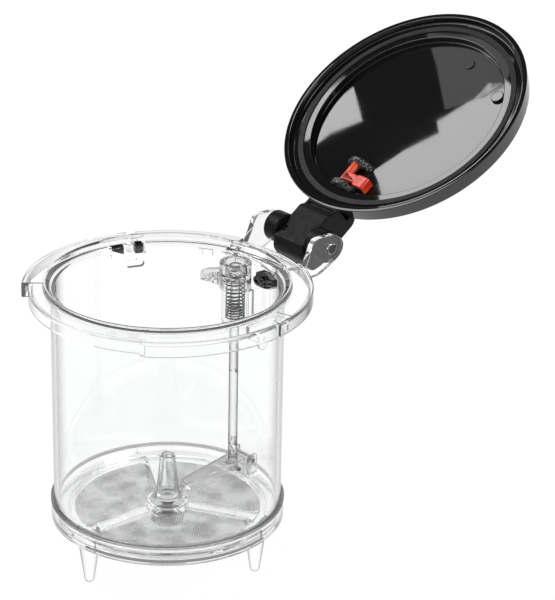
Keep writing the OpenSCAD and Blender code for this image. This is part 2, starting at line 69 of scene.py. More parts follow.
MM = 0.001
print("nodes", len(NODES), "box", [[round(v, 4) for v in p] for p in CAD_BOX])

# %% [markdown]
# The camera stands about a metre away with a long lens, a little above the collar, so that the
# mouth shows as a wide ellipse and the tube hardly narrows towards its feet. A wide lens from close
# by would show the same parts, but would make the near side look swollen.

# %% Camera
LENS = 149.583
CAMERA_AT = (0.728427, -0.595288, 0.402533)
CAMERA_TURN = (66.80286, -1.00493, 48.43063)


def put_in(name, data):
    """Makes an object for a mesh, lamp or camera and puts it into the scene."""
    obj = bpy.data.objects.new(name, data)
    bpy.context.scene.collection.objects.link(obj)
    return obj


cam_data = bpy.data.cameras.new("camera")
cam_data.lens = LENS
cam_data.clip_end = 20.0
camera = put_in("camera", cam_data)
camera.location = CAMERA_AT
camera.rotation_euler = [math.radians(a) for a in CAMERA_TURN]
bpy.context.scene.camera = camera
print("camera lens", round(cam_data.lens, 2), "distance", round(Vector(CAMERA_AT).length, 3))

# %% [markdown]
# Clear plastic has no colour of its own: it is drawn by what it bends and mirrors. So the room is
# white low down, all the way round, where straight looks end, and dark grey overhead, where only
# looks that an edge has bent or mirrored can go. A look that has gone through plastic sees overhead
# a light grey at the darkest, which keeps the walls bright. A room of lamps would also do, but it
# would suit one side only.

# %% World: how bright the room is at each height
# Heights are the Z of a direction, which is 0 at the horizon and 1 straight up.
WHITE_UP_TO, DARK_FROM = 0.44, 0.58
OVERHEAD, OVERHEAD_THROUGH_PLASTIC = 0.08, 0.6


def link(tree, *pairs):
    """Links sockets of a node tree pair by pair, each an output and the input that it feeds."""
    for output, into in pairs:
        tree.links.new(output, into)


world = bpy.data.worlds.new("room")
bpy.context.scene.world = world
world.use_nodes = True
room = world.node_tree
room.nodes.clear()
place = room.nodes.new("ShaderNodeTexCoord")
upward = room.nodes.new("ShaderNodeSeparateXYZ")
shade = room.nodes.new("ShaderNodeValToRGB")
low, high = shade.color_ramp.elements
low.position, low.color = WHITE_UP_TO, (1, 1, 1, 1)
high.position, high.color = DARK_FROM, (OVERHEAD, OVERHEAD, OVERHEAD, 1)
link(room, (place.outputs["Generated"], upward.inputs[0]), (upward.outputs["Z"], shade.inputs[0]))
print("room shade runs from", round(low.position, 2), "to", round(high.position, 2))

# %% World: what the camera and looks through plastic see of it
path = room.nodes.new("ShaderNodeLightPath")
lifted = room.nodes.new("ShaderNodeMath")
lifted.operation = "MAXIMUM"
lifted.inputs[1].default_value = OVERHEAD_THROUGH_PLASTIC
by_look = room.nodes.new("ShaderNodeMix")
by_look.data_type = "RGBA"
grey_room = room.nodes.new("ShaderNodeBackground")
white_room = room.nodes.new("ShaderNodeBackground")
white_room.inputs["Color"].default_value = (1, 1, 1, 1)
either = room.nodes.new("ShaderNodeMixShader")
link(room, (shade.outputs[0], lifted.inputs[0]), (shade.outputs[0], by_look.inputs["A"]),
     (lifted.outputs[0], by_look.inputs["B"]),
     (path.outputs["Is Transmission Ray"], by_look.inputs["Factor"]),
     (by_look.outputs["Result"], grey_room.inputs["Color"]),
     (path.outputs["Is Camera Ray"], either.inputs[0]),
     (grey_room.outputs[0], either.inputs[1]), (white_room.outputs[0], either.inputs[2]),
     (either.outputs[0], room.nodes.new("ShaderNodeOutputWorld").inputs[0]))
bpy.context.scene.view_settings.view_transform = "Standard"
print("world nodes", len(room.nodes))

# %% [markdown]
# Every finish starts as one Principled shader. Its even values are set on the shader's own sockets;
# what changes over a surface comes from noise on Object coordinates, which are metres, so a scale
# of 40 gives patches of 25 mm and a scale of 3000 a grain of a third of a millimetre. A texture
# wrapped round the piece would need a flat layout of it. Noise in space needs none.


# %% Helpers for node materials
def new_material(name, color, rough, **sockets):
    """A Principled material with constants on its own sockets."""
    m = bpy.data.materials.new(name)
    m.use_nodes = True
    b = m.node_tree.nodes["Principled BSDF"]
    b.inputs["Base Color"].default_value = (*color, 1)
    b.inputs["Roughness"].default_value = rough
    for k, v in sockets.items():
        b.inputs[k.replace("_", " ")].default_value = v
    return m


def noise(m, scale, detail):
    """The value of a noise of so many waves to the metre, read at the surface's own place."""
    tree = m.node_tree
    here = tree.nodes.new("ShaderNodeTexCoord")
    n = tree.nodes.new("ShaderNodeTexNoise")
    n.inputs["Scale"].default_value = scale
    n.inputs["Detail"].default_value = detail
    link(tree, (here.outputs["Object"], n.inputs["Vector"]))
    return n.outputs["Fac"]


def spread(m, value, socket, *stops):
    """Sends a value of 0..1 to a socket through a colour ramp with (position, colour) stops."""
    tree = m.node_tree
    r = tree.nodes.new("ShaderNodeValToRGB")
    for k, (position, color) in enumerate(stops):
        e = r.color_ramp.elements[k] if k < 2 else r.color_ramp.elements.new(position)
        e.position = position
        e.color = (*color, 1) if isinstance(color, tuple) else (color, color, color, 1)
    link(tree, (value, r.inputs[0]), (r.outputs[0], tree.nodes["Principled BSDF"].inputs[socket]))


def uneven(m, scale, socket, *stops, detail=3.0):
    """Lets a socket change over the surface with a noise of the given scale."""
    spread(m, noise(m, scale, detail), socket, *stops)


def relief(m, scale, height, detail=3.0):
    """Raises and lowers the surface's shading by a noise of the given height in metres."""
    tree = m.node_tree
    b = tree.nodes.new("ShaderNodeBump")
    b.inputs["Strength"].default_value = 1.0
    b.inputs["Distance"].default_value = height
    link(tree, (noise(m, scale, detail), b.inputs["Height"]),
         (b.outputs[0], tree.nodes["Principled BSDF"].inputs["Normal"]))


# %% [markdown]
# A clear wall looks dark where the look runs along it, because its way through the plastic is long
# there and bends towards darker places. Real thickness does part of that by itself, and a painted
# edge shade, a tint that grows darker towards the edge, does the rest. Light that is caught inside a
# wall would take very many bounces to follow, so a look that has been mirrored three times ends in a
# faint glow, about as bright as the light the wall carries.

# %% Helper for clear plastic
PLASTIC_IOR = 1.49
CAUGHT_AFTER = 2.5


def clear_finish(name, rough, tint, start, end=1.0, glow=0.03, passing=1.0):
    """A clear plastic. Its colour runs from the tint to black between two values of Facing, which
    is 0 where a surface faces the look and 1 where it lies along it, a painted edge shade. Caught
    light ends in glow."""
    m = new_material(name, (1, 1, 1), rough, Transmission_Weight=passing, IOR=PLASTIC_IOR)
    tree = m.node_tree
    look = tree.nodes.new("ShaderNodeLayerWeight")
    look.inputs["Blend"].default_value = 0.5
    bounces = tree.nodes.new("ShaderNodeLightPath")
    caught = tree.nodes.new("ShaderNodeMath")
    caught.operation = "GREATER_THAN"
    caught.inputs[1].default_value = CAUGHT_AFTER
    fill = tree.nodes.new("ShaderNodeMath")
    fill.operation = "MULTIPLY"
    fill.inputs[1].default_value = glow
    link(tree, (bounces.outputs["Glossy Depth"], caught.inputs[0]),
         (caught.outputs[0], fill.inputs[0]),
         (fill.outputs[0], tree.nodes["Principled BSDF"].inputs["Emission Strength"]))
    # painted edge shade: the colour turns black where the surface lies along the look
    spread(m, look.outputs["Facing"], "Base Color", (start, tint), (end, 0.0))
    return m


# %% [markdown]
# The clear mouldings have a faint flow waviness and a little unevenness in their polish. The painted
# edge shade darkens wide walls only near their edges, and slim bars over a wider part of their
# width. One finish for both would make either the walls too dark or the bars too faint.

# %% Clear walls and bars
NEAR_WHITE, COOL_WHITE = (0.985, 0.99, 0.99), (0.98, 0.985, 0.99)
clear = clear_finish("clear_plastic", 0.0, NEAR_WHITE, 0.62, 0.92)
clear_base = clear_finish("clear_plastic_base", 0.0, NEAR_WHITE, 0.62, glow=0.08)
clear_bar = clear_finish("clear_plastic_bar", 0.0, COOL_WHITE, 0.3, 0.75)
clear_rod = clear_finish("clear_plastic_rod", 0.02, COOL_WHITE, 0.06, 0.5, glow=0.02)
# painted light: the lever's cloudiness and stronger glow stand for the light that it mirrors
clear_lever = clear_finish("clear_plastic_lever", 0.02, (1, 1, 1), 0.6, glow=0.14, passing=0.84)
for wall in (clear, clear_base):
    relief(wall, 55, 0.00003, 1.0)
    uneven(wall, 90, "Roughness", (0.3, 0.0), (0.75, 0.03))
relief(clear_bar, 120, 0.00001, 1.0)
uneven(clear_bar, 200, "Roughness", (0.3, 0.0), (0.75, 0.04))
print("clear finishes", len(bpy.data.materials))

# %% [markdown]
# The cap and the joint ring are the same plastic with a smoky tint. A see-through grey that bends
# no light would look like a film, so they are made as the clear ones are, with a greyer tint.

# %% Smoky plastics
smoke = clear_finish("smoky_plastic", 0.03, (0.84, 0.84, 0.85), 0.3, 0.9, glow=0.02)
relief(smoke, 160, 0.00002, 1.0)
uneven(smoke, 220, "Roughness", (0.3, 0.01), (0.75, 0.07))
smoke_seal = clear_finish("smoky_plastic_seal", 0.05, (0.8, 0.8, 0.81), 0.1, 0.8)
for slim in (clear_rod, smoke_seal, clear_lever):
    relief(slim, 150, 0.00001, 1.0)
print("smoky and clear finishes", len(bpy.data.materials))

# %% [markdown]
# The black plastics are one colour and differ in their skin. The lid is polished and mirrors the
# room, the arm and the small blocks are satin, and the brackets have a coarse grain with light
# specks. One black with three roughness values would miss the grain.

# %% Black plastics
black = new_material("black_gloss_plastic", (0.006, 0.006, 0.007), 0.06, IOR=1.5)
uneven(black, 60, "Roughness", (0.3, 0.012), (0.7, 0.03))
relief(black, 45, 0.000002, 1.0)
satin = new_material("black_satin_plastic", (0.006, 0.006, 0.007), 0.4, Specular_IOR_Level=0.12)
uneven(satin, 90, "Base Color", (0.3, (0.003, 0.003, 0.004)), (0.7, (0.007, 0.007, 0.008)))
uneven(satin, 400, "Roughness", (0.3, 0.3), (0.7, 0.48))
relief(satin, 2200, 0.00002)
grained = new_material("black_grained_plastic", (0.02, 0.02, 0.02), 0.6, IOR=1.45)
uneven(grained, 1500, "Base Color", (0.42, (0.005, 0.005, 0.006)), (0.54, (0.02, 0.02, 0.021)),
       (0.64, (0.4, 0.4, 0.41)), detail=4.0)
uneven(grained, 700, "Roughness", (0.3, 0.4), (0.7, 0.75))
relief(grained, 1000, 0.0004)
print("black finishes", [m.name for m in (black, satin, grained)])

# %% [markdown]
# The rocker is bright red plastic with a thin polish over it, and the seals are matt rubber. Both
# could be one flat colour, but a slow change of colour and polish tells plastic from paint. The
# rocker's brightest, orange-yellow patches are painted light: painted highlights and the glow of
# light shining through the red.

# %% Red plastic and rubber
red = new_material("red_gloss_plastic", (0.8, 0.03, 0.01), 0.2, IOR=1.5, Coat_Weight=0.5,
                   Coat_Roughness=0.08)
# the orange-yellow end of this ramp is a painted highlight and painted glow of light through the
# plastic
uneven(red, 120, "Base Color", (0.3, (0.8, 0.025, 0.01)), (0.5, (0.95, 0.06, 0.02)),
       (0.7, (1.0, 0.16, 0.035)))
uneven(red, 300, "Roughness", (0.3, 0.16), (0.7, 0.32))
relief(red, 900, 0.00002)
rubber = new_material("seal_rubber", (0.008, 0.008, 0.009), 0.55)
uneven(rubber, 250, "Base Color", (0.3, (0.005, 0.005, 0.006)), (0.7, (0.013, 0.013, 0.014)))
uneven(rubber, 1500, "Roughness", (0.3, 0.5), (0.7, 0.75))
relief(rubber, 1800, 0.00003)
print("red and rubber", red.name, rubber.name)

# %% [markdown]
# The spring is drawn steel with a near-black colour. The filter's wire is too fine to show its own
# shine, so it is a pale grey that changes in patches: painted light and shade, for the uneven light
# on its dented, wavy weave. Bright bare metal would turn to glitter at this size.

# %% Metals
steel = new_material("spring_steel", (0.1, 0.1, 0.105), 0.25, Metallic=1.0)
uneven(steel, 500, "Base Color", (0.3, (0.004, 0.004, 0.005)), (0.7, (0.03, 0.03, 0.032)))
uneven(steel, 900, "Roughness", (0.3, 0.2), (0.7, 0.38))
mesh_grey = new_material("mesh_wire", (0.5, 0.5, 0.5), 0.4, Metallic=0.6)
# painted light and shade: the grey patches stand for the uneven light on the dented weave
uneven(mesh_grey, 95, "Base Color", (0.36, (0.3, 0.3, 0.31)), (0.6, (0.95, 0.95, 0.96)), detail=6.0)
uneven(mesh_grey, 900, "Roughness", (0.3, 0.3), (0.7, 0.6))
print("metals", steel.name, mesh_grey.name)

# %% [markdown]
# The solids that no finer piece replaces keep their shape and take the finish of their own slot.
# Only the lever and its ears get a variety of it, a little cloudier than the wall and with a
# stronger glow: painted light, which brightens the lever as the light that it mirrors does.

# %% Finishes for the solids that stay
SLOTS = {"clear_plastic": clear, "smoke_plastic": smoke, "black_plastic": black,
         "red_plastic": red, "seal_rubber": rubber, "spring_steel": steel,
         "mesh_steel": mesh_grey}
SLOT_OF = {part["node"]: part["material_slot"] for part in frame["record"]["subparts"]}
finish_of = {name: SLOTS[slot_name] for name, slot_name in SLOT_OF.items()}
finish_of.update(lever=clear_lever, lever_ears=clear_lever)
for name, finish in finish_of.items():
    for s in NODES[name].material_slots:
        s.material = finish
print("materials", len(bpy.data.materials))

# %% [markdown]
# The floor is a plain white sheet. Light of its own, mixed with a matt white, keeps it white to the
# camera and to looks through the plastic, and leaves a soft shadow of the black parts. A matt white
# alone would show grey through the walls.

# %% Floor
FLOOR_HALF = 6.0
FLOOR_GLOW, FLOOR_GLOW_SHARE, FLOOR_MATT = 1.06, 0.9, 0.9
floor_mesh = bpy.data.meshes.new("floor")
floor_mesh.from_pydata([(x * FLOOR_HALF, y * FLOOR_HALF, CAD_BOX[0][2])
                        for x, y in ((-1, -1), (1, -1), (1, 1), (-1, 1))], [], [(0, 1, 2, 3)])
floor = put_in("floor", floor_mesh)
floor_white = bpy.data.materials.new("floor_white")
floor_white.use_nodes = True
tree = floor_white.node_tree
tree.nodes.clear()
matt = tree.nodes.new("ShaderNodeBsdfDiffuse")
matt.inputs[0].default_value = (FLOOR_MATT, FLOOR_MATT, FLOOR_MATT, 1)
lit = tree.nodes.new("ShaderNodeEmission")
lit.inputs[0].default_value = (1, 1, 1, 1)
lit.inputs[1].default_value = FLOOR_GLOW
both = tree.nodes.new("ShaderNodeMixShader")
both.inputs[0].default_value = FLOOR_GLOW_SHARE
link(tree, (matt.outputs[0], both.inputs[1]), (lit.outputs[0], both.inputs[2]),
     (both.outputs[0], tree.nodes.new("ShaderNodeOutputMaterial").inputs[0]))
floor_mesh.materials.append(floor_white)
print("floor at", round(CAD_BOX[0][2], 4))

# %% [markdown]
# The inside of the lid is polished, so it shows whatever stands round it, and with nothing there it
# would be an even black. Studios put up white cards for that. Three are set in the direction in
# which the open lid mirrors the camera's look: two bright ones and a dim one. Only mirrors see
# them, so they light nothing else.

# %% Light cards
CARDS_AT = np.array([-0.803, 0.045, 0.935])
ALONG, UPWARD = np.array([-0.1123, 0.9937, 0]), np.array([0.7349, 0.0831, 0.6731])
BRIGHT_CARD, DIM_CARD = 8, 1.2


def light_card(name, corners, strength):
    """A flat screen that only mirrors show. Each corner lies at CARDS_AT + a*ALONG + b*UPWARD."""
    c = np.array(corners)
    points = CARDS_AT + c[:, :1] * ALONG + c[:, 1:] * UPWARD
    m = bpy.data.meshes.new(name)
    m.from_pydata(points.tolist(), [], [list(range(len(points)))])
    glow = bpy.data.materials.new(name)
    glow.use_nodes = True
    tree = glow.node_tree
    tree.nodes.clear()
    e = tree.nodes.new("ShaderNodeEmission")
    e.inputs[1].default_value = strength
    link(tree, (e.outputs[0], tree.nodes.new("ShaderNodeOutputMaterial").inputs[0]))
    m.materials.append(glow)
    o = put_in(name, m)
    for kind in ("camera", "diffuse", "transmission", "volume_scatter", "shadow"):
        setattr(o, "visible_" + kind, False)


light_card("card_left", [(0.018, -0.053), (-0.011, -0.039), (-0.028, -0.065), (-0.043, -0.078),
                         (-0.027, -0.08), (-0.001, -0.07)], BRIGHT_CARD)
light_card("card_right", [(-0.054, -0.02), (-0.03, 0.004), (-0.008, 0.032), (0.002, 0.028),
                          (0.03, 0.058), (0.045, 0.067), (0.048, 0.078), (0.04, 0.088),
                          (0.014, 0.087), (-0.034, 0.06), (-0.061, 0.029), (-0.077, -0.007),
                          (-0.062, -0.014)], BRIGHT_CARD)
light_card("card_dim", [(0.069, 0.008), (0.076, 0.056), (0.063, 0.083), (0.044, 0.081),
                        (0.032, 0.066), (0.014, 0.033), (0.05, 0.018)], DIM_CARD)

# %% [markdown]
# Two large square lamps give the black parts soft highlights from the left and the right. Small
# lamps would give hard spots and hard shadows.

# %% Soft boxes
LAMPS_AIM = Vector((0, 0.05, 0))


def soft_box(name, at, side, power):
    """A square lamp of the given side in metres that faces the object."""
    d = bpy.data.lights.new(name, "AREA")
    d.shape = "RECTANGLE"
    d.size = d.size_y = side
    d.energy = power
    o = put_in(name, d)
    o.location = at
    o.rotation_euler = (LAMPS_AIM - Vector(at)).to_track_quat("-Z", "Y").to_euler()


soft_box("box_left", (-1.2, -0.6, 1.3), 0.9, 14)
soft_box("box_right", (1.3, 0.5, 1.1), 0.8, 9)
print("lamps", len(bpy.data.lights))

# %% [markdown]
# Each piece is a grid of points in millimetres. A grid becomes quads, and a closed set of quads
# becomes a shell: either it runs round both ways, or its first and last rows are capped. Ready
# cylinders and cubes could be bent into most of these forms, but a grid says the form itself.


# %% Shells from grids
def shell(grid, ring=False):
    """Corners and faces of a closed shell. grid is (rows, columns, xyz) and its columns run round.
    With ring, the last row joins the first; otherwise both end rows are capped with one face."""
    rows, cols = grid.shape[:2]
    u = np.arange(rows if ring else rows - 1)[:, None]
    v = np.arange(cols)[None, :]
    up, right = (u + 1) % rows, (v + 1) % cols
    quads = np.stack([u * cols + v, u * cols + right, up * cols + right, up * cols + v], -1)
    faces = quads.reshape(-1, 4).tolist()
    if not ring:
        faces += [list(range(cols))[::-1], list(range((rows - 1) * cols, rows * cols))]
    return grid.reshape(-1, 3), faces


def smooth(mesh, sharp):
    """Smooth shading, with edges steeper than sharp degrees kept crisp."""
    mesh.shade_smooth()
    mesh.set_sharp_from_angle(angle=math.radians(sharp))


# %% One mesh from shells
SAME_POINT = 2e-6


def build(name, shells, sharp=38):
    """One object from shells: doubles merged, faces turned outwards, smooth but for sharp edges."""
    points, faces, start = [], [], 0
    for pts, fcs in shells:
        points.append(pts)
        faces += [[i + start for i in f] for f in fcs]
        start += len(pts)
    mesh = bpy.data.meshes.new(name)
    mesh.from_pydata((np.concatenate(points) * MM).tolist(), [], faces)
    bm = bmesh.new()
    bm.from_mesh(mesh)
    bmesh.ops.remove_doubles(bm, verts=bm.verts, dist=SAME_POINT)
    bmesh.ops.delete(bm, geom=[e for e in bm.edges if e.is_wire], context="EDGES")
    bmesh.ops.recalc_face_normals(bm, faces=bm.faces)
    bm.to_mesh(mesh)
    bm.free()
    smooth(mesh, sharp)
    return put_in(name, mesh)


# %% Joining and cutting
def combine(obj, operation, shells, sharp):
    """Joins closed shells to a closed piece (UNION), or cuts them out of it (DIFFERENCE)."""
    tools = [build("tool", [s]) for s in shells]
    for tool in tools:
        step = obj.modifiers.new("combine", "BOOLEAN")
        step.operation = operation
        step.solver = "MANIFOLD"
        step.object = tool
    bpy.context.view_layer.update()
    seen = obj.evaluated_get(bpy.context.evaluated_depsgraph_get())
    done = bpy.data.meshes.new_from_object(seen)
    obj.modifiers.clear()
    obj.data = done
    for tool in tools:
        bpy.data.objects.remove(tool)
    smooth(done, sharp)


# %% Finish, body and the solids that a piece stands for
def dress(obj, body, finish, *nodes, skin=None):
    """Gives a piece its finish and its body, and lets it stand for CAD nodes. A skin is a variety
    of the slot's finish for this piece. Large faces rule the shading, so that flats look flat."""
    obj.data.materials.clear()
    obj.data.materials.append(skin or SLOTS[finish])
    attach(obj, body)
    if nodes:
        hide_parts(*nodes)
    if finish != "spring_steel":
        even = obj.modifiers.new("even_shading", "WEIGHTED_NORMAL")
        even.keep_sharp = True
    print(obj.name, len(obj.data.vertices), "points")


# %% [markdown]
# Moulded parts have no knife-sharp corners. One helper rounds the corners of an outline, and others
# carry it round an axis or across its own plane. A Bevel on the finished mesh would round them too,
# but it fails where two joined forms meet in a thin edge.


# %% Rounded outlines
def rounded(corners, reach, steps=5):
    """Rounds a closed outline whose corners run along axis 0. Each corner C becomes the curve
    (1-t)^2 A + 2t(1-t) C + t^2 B, where A and B lie at most `reach` before and after it."""
    c = np.asarray(corners, float)
    flat = (1,) * (c.ndim - 1)
    reach = np.broadcast_to(np.asarray(reach, float).reshape(-1, *flat), (len(c), *flat))
    back, ahead = np.roll(c, 1, 0) - c, np.roll(c, -1, 0) - c
    length_b = np.linalg.norm(back, axis=-1, keepdims=True) + 1e-9
    length_a = np.linalg.norm(ahead, axis=-1, keepdims=True) + 1e-9
    a = c + back / length_b * np.minimum(reach, 0.48 * length_b)
    b = c + ahead / length_a * np.minimum(reach, 0.48 * length_a)
    t = np.linspace(0, 1, steps).reshape(1, -1, *flat)
    curve = (1 - t) ** 2 * a[:, None] + 2 * t * (1 - t) * c[:, None] + t ** 2 * b[:, None]
    return curve.reshape(-1, *c.shape[1:])


def profile(rows, steps=4):
    """A rounded outline from rows of (radius, height, reach of the rounding)."""
    rows = np.array(rows, float)
    return rounded(rows[:, :2], rows[:, 2], steps)


def oblong(a0, a1, b0, b1):
    """The four corners of a box outline."""
    return np.array([(a0, b0), (a1, b0), (a1, b1), (a0, b1)], float)


print("a rounded oblong has", len(rounded(oblong(0, 2, 0, 1), 0.2)), "points")


# %% Forms turned round an axis
def polar(r, z, degrees):
    """Points at radius r and height z, at an angle round the Z axis."""
    a = np.radians(degrees)
    return np.stack(np.broadcast_arrays(r * np.cos(a), r * np.sin(a), z), -1)


def turned(outline, at=(0, 0), cols=240):
    """An outline of (radius, height) points carried once round a vertical axis."""
    p = np.asarray(outline)
    angles = np.linspace(0, 360, cols, endpoint=False)[:, None]
    return shell(polar(p[None, :, 0], p[None, :, 1], angles) + np.array([*at, 0.0]), ring=True)


def arc_bar(a0, a1, r0, r1, z0, z1, edge=0.2, cols=12):
    """A bar of rounded section r0..r1 by z0..z1, bent round the axis from angle a0 to a1."""
    p = rounded(oblong(r0, r1, z0, z1), edge, 3)
    return shell(polar(p[None, :, 0], p[None, :, 1], np.linspace(a0, a1, cols)[:, None]))


def turned_to(form, degrees):
    """The same shell turned round the canister's axis."""
    a = math.radians(degrees)
    spin = [[math.cos(a), math.sin(a), 0], [-math.sin(a), math.cos(a), 0], [0, 0, 1]]
    return form[0] @ np.array(spin), form[1]


# %% Slabs
def outward(p):
    """Unit normals of a closed outline: its tangent turned by a right angle, away from inside."""
    t = np.roll(p, -1, 0) - np.roll(p, 1, 0)
    n = np.stack([t[:, 1], -t[:, 0]], -1)
    n /= np.linalg.norm(n, axis=1, keepdims=True) + 1e-9
    area = np.sum(p[:, 0] * np.roll(p[:, 1], -1) - np.roll(p[:, 0], -1) * p[:, 1])
    return n if area > 0 else -n


def slab(outline, lo, hi, edge=0.3, order="zxy", steps=4):
    """An outline carried from lo to hi along the first axis of order. Close to both ends it draws
    in by edge*(1-sin t) over a travel of edge*(1-cos t), which rounds the rims."""
    p = np.asarray(outline, float)
    t = np.linspace(0, np.pi / 2, steps)
    inset = edge * (1 - np.sin(t))
    travel = edge * (1 - np.cos(t))
    inset = np.concatenate([inset, inset[::-1]])
    level = np.concatenate([lo + travel, hi - travel[::-1]])
    flat = p[None] - outward(p)[None] * inset[:, None, None]
    grid = np.empty((len(level), len(p), 3))
    grid[..., "xyz".index(order[0])] = level[:, None]
    grid[..., "xyz".index(order[1])] = flat[..., 0]
    grid[..., "xyz".index(order[2])] = flat[..., 1]
    return shell(grid)


# %% Round bars
AS_CUT = 0.01


def rod(start, end, radius, edge=0.2, sides=32):
    """A round bar between two points, its ends rounded by edge."""
    start, end = np.array(start, float), np.array(end, float)
    way = (end - start) / np.linalg.norm(end - start)
    side = np.cross(way, (0, 0, 1) if abs(way[2]) < 0.9 else (1, 0, 0))
    side /= np.linalg.norm(side)
    other = np.cross(way, side)
    t = np.linspace(0, np.pi / 2, 4)
    r = radius - edge * (1 - np.sin(t))
    s = edge * (1 - np.cos(t))
    length = np.linalg.norm(end - start)
    r = np.concatenate([r, r[::-1]])[:, None, None]
    s = np.concatenate([s, length - s[::-1]])[:, None, None]
    a = np.linspace(0, 2 * np.pi, sides, endpoint=False)[None, :, None]
    return shell(start + way * s + r * (np.cos(a) * side + np.sin(a) * other))


def cross_rod(x0, x1, at, radius, edge=AS_CUT, sides=32):
    """A round bar from x0 to x1, parallel to the hinge pin, at a place (y, z)."""
    return rod((x0, *at), (x1, *at), radius, edge, sides)


print("a round bar has", len(rod((0, 0, 0), (0, 0, 1), 0.5)[0]), "points")

# %% [markdown]
# The canister is one clear moulding: a plain tube, and round its mouth a collar with a raised lip
# and a skirt. A turned form would do but for the places where the collar changes on its way round:
# the front is set back, the lid arm has a pocket, and a slit and a notch cut the edge. So the
# outline is a function of the angle, and the whole is still one grid. Where it changes there are
# two columns close together.

# %% Where the collar changes on its way round
CHANGES = np.array([7.81, 9.19, 70.5, 72, 108, 109.5, 154.25, 158.15, 228.2, 230, 310, 311.8])
CLOSE = 0.06
turn = np.unique(np.concatenate([np.arange(0, 360, 0.5), CHANGES - CLOSE, CHANGES + CLOSE]))


def between(lo, hi):
    """True for the columns whose angle lies between lo and hi degrees."""
    return (turn > lo) & (turn < hi)


slit, front, notch = between(7.81, 9.19), between(230, 310), between(154.25, 158.15)
set_back = front | slit
r_out = np.where(set_back, 57.0, np.where(notch, 57.3, 59.8))
r_low = np.where(set_back, 57.0, 59.8)
r_in = np.where(slit, 56.9, np.where(between(228.2, 311.8), 55.4, 58.2))
under = np.where(between(70.5, 109.5), 3.0, 4.4)
top = np.where(front, 6.1, 6.4)
pocket = np.where(between(72, 108), 5.0, top)
low = np.where(slit, 4.3, 0.0)
step_z = np.where(slit, 4.35, 2.0)
print("columns round the collar", len(turn))

# %% Tube and collar in one grid
TUBE_IN, TUBE_OUT, TUBE_END = 46, 48, -89.5
WALL = [(TUBE_IN, TUBE_END, 0.35), (TUBE_IN, 5.3, 0.6), (48, 6.2, 0.45), (50.2, 8.7, 0.25),
        (50.8, 8.7, 0.25), (51.0, top, 0.25), (52.2, top, 0.15), (52.2, pocket, 0.15),
        (r_out, pocket, 0.6), (r_out, step_z, 0), (r_low, step_z, 0), (r_low, low, 0.35),
        (r_in, low, 0.35), (r_in, under, 0.5), (TUBE_OUT, under, 0.8), (TUBE_OUT, TUBE_END, 0.35)]
corners = np.array([np.stack(np.broadcast_arrays(r, z, turn)[:2], -1) for r, z, _ in WALL])
section = rounded(corners, [reach for *_, reach in WALL], 4)
wall_grid = polar(section[..., 0], section[..., 1], turn[None, :])
canister = build("canister_moulding", [shell(wall_grid, ring=True)], sharp=50)
print("grid", wall_grid.shape[:2])

# %% [markdown]
# Two ears stand behind the collar and carry the hinge pin. Under the collar sit the small bars that
# find the canister's place in its machine. They are slabs and bent bars, joined by boolean: left as
# separate shells, their hidden walls would show as false lines in clear plastic.

# %% Hinge ears and locating bars
EAR = [(55.6, 0.6), (60.5, -1.1), (64.1, -1.1), (66.4, -0.9), (70.3, 1), (75.4, 3.6), (78.2, 5.7),
       (79.6, 8.4), (79.6, 10.8), (77.8, 13.4), (74.2, 15.3), (66, 15.7), (63.6, 15.5),
       (61.8, 13.2), (60.6, 9.6), (58.7, 5.8), (57.6, 3.6), (55.6, 3.0)]
EAR_NEAR, EAR_FAR = 17, 20
TAB = [(-2.2, 1.5), (-2.2, -1.5), (-1.5, -2.2), (-0.9, -2.5), (0.9, -2.5), (1.5, -2.2),
       (2.2, -1.5), (2.2, 1.5)]
ear_outline = rounded(EAR, 1.2, 4)
ears = [slab(ear_outline, EAR_NEAR, EAR_FAR, 0.35, "xyz"),
        slab(ear_outline, -EAR_FAR, -EAR_NEAR, 0.35, "xyz")]
tab = slab(rounded(TAB, 0.3, 3), 58.35, 59.7, 0.2, "xyz")
side_ribs = [arc_bar(-2.6, -1.4, 52, 58.6, 0.8, 4.7), arc_bar(14, 15.2, 52, 58.6, 0.8, 4.7),
             arc_bar(-2.6, 15.2, 51.8, 53.2, 0.85, 4.75)]
key_ribs = [arc_bar(159.3, 161.4, 47.4, 52, 1.8, 4.7), arc_bar(152, 153, 47.4, 53, 0.8, 4.7),
            arc_bar(171, 172, 47.4, 53, 0.8, 4.7)]
inner_stops = [arc_bar(116, 118, 45.4, 46.6, 1.7, 4.3), arc_bar(122, 124, 45.4, 46.6, 1.7, 4.3),
               arc_bar(116, 124, 45.4, 46.6, 3.9, 4.4), arc_bar(102, 110.5, 45.4, 46.6, 2.0, 4.4)]
combine(canister, "UNION", ears + [tab] + side_ribs + key_ribs + inner_stops, 50)
print("joined", len(canister.data.vertices), "points")

# %% Wall slot, pin holes and cuts
HINGE_AT = (73.3, 9.0)


def wall_slot():
    """A long slot with round ends, 8.2 wide and 3.4 high, across the tube wall at 158.3 degrees."""
    t = np.radians(np.linspace(-90, 90, 14))
    half = np.stack([2.4 + 1.7 * np.cos(t), 1.7 * np.sin(t)], -1)
    points, faces = slab(np.concatenate([half, -half]), 43, 51, AS_CUT, "xyz")
    return turned_to((points + (0, 0, -2.9), faces), 158.3)


cuts = [wall_slot(), cross_rod(56, 63, (0, 2.2), 0.65), cross_rod(-25, 25, HINGE_AT, 2.04),
        arc_bar(16.2, 16.8, 52.4, 61, 6.1, 8, 0.02, 4)]
cuts += [cross_rod(side * 16.6, side * 17.4, HINGE_AT, 2.7) for side in (-1, 1)]
combine(canister, "DIFFERENCE", cuts, 50)
dress(canister, "canister", "clear_plastic", "tube", "collar", "hinge_ears")

# %% [markdown]
# The raised stops inside the mouth and the outer rim of the collar are thin, so their painted edge
# shade covers more of their width than the wall's does. They could be meshes of their own, but then
# hidden walls would show, so these faces of the one mesh get the finish of the slim bars.

